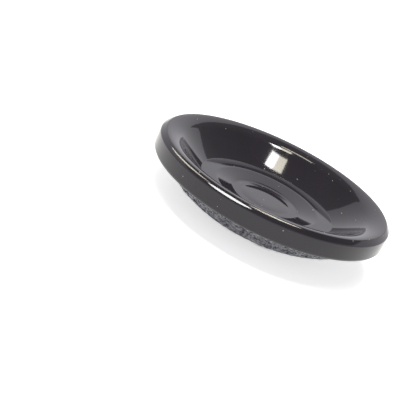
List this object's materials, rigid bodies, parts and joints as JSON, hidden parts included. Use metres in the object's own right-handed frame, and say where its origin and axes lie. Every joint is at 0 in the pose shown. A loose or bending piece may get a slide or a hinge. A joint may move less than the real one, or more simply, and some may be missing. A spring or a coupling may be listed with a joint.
{
  "type": "caster cup",
  "caption": "Round moulded caster cup with a rolled rim, a stepped dish for a furniture wheel or leg, and a domed felt pad underneath.",
  "frame": {"origin": "centre of the felt's flat underside, where the cup stands on the floor", "axes": "+Z along the axis of the cup, out of the dish; X and Y are any two directions across it, because the cup is round"},
  "size_m": [0.089, 0.089, 0.0194],
  "materials": {
    "dark_gloss_plastic": "polished moulding",
    "cream_adhesive": "cured adhesive film",
    "grey_felt": "needle-punched, fuzzy"
  },
  "bodies": {
    "root": {"cup": "dark_gloss_plastic", "adhesive_layer": "cream_adhesive", "felt_pad": "grey_felt"}
  },
  "joints": []
}
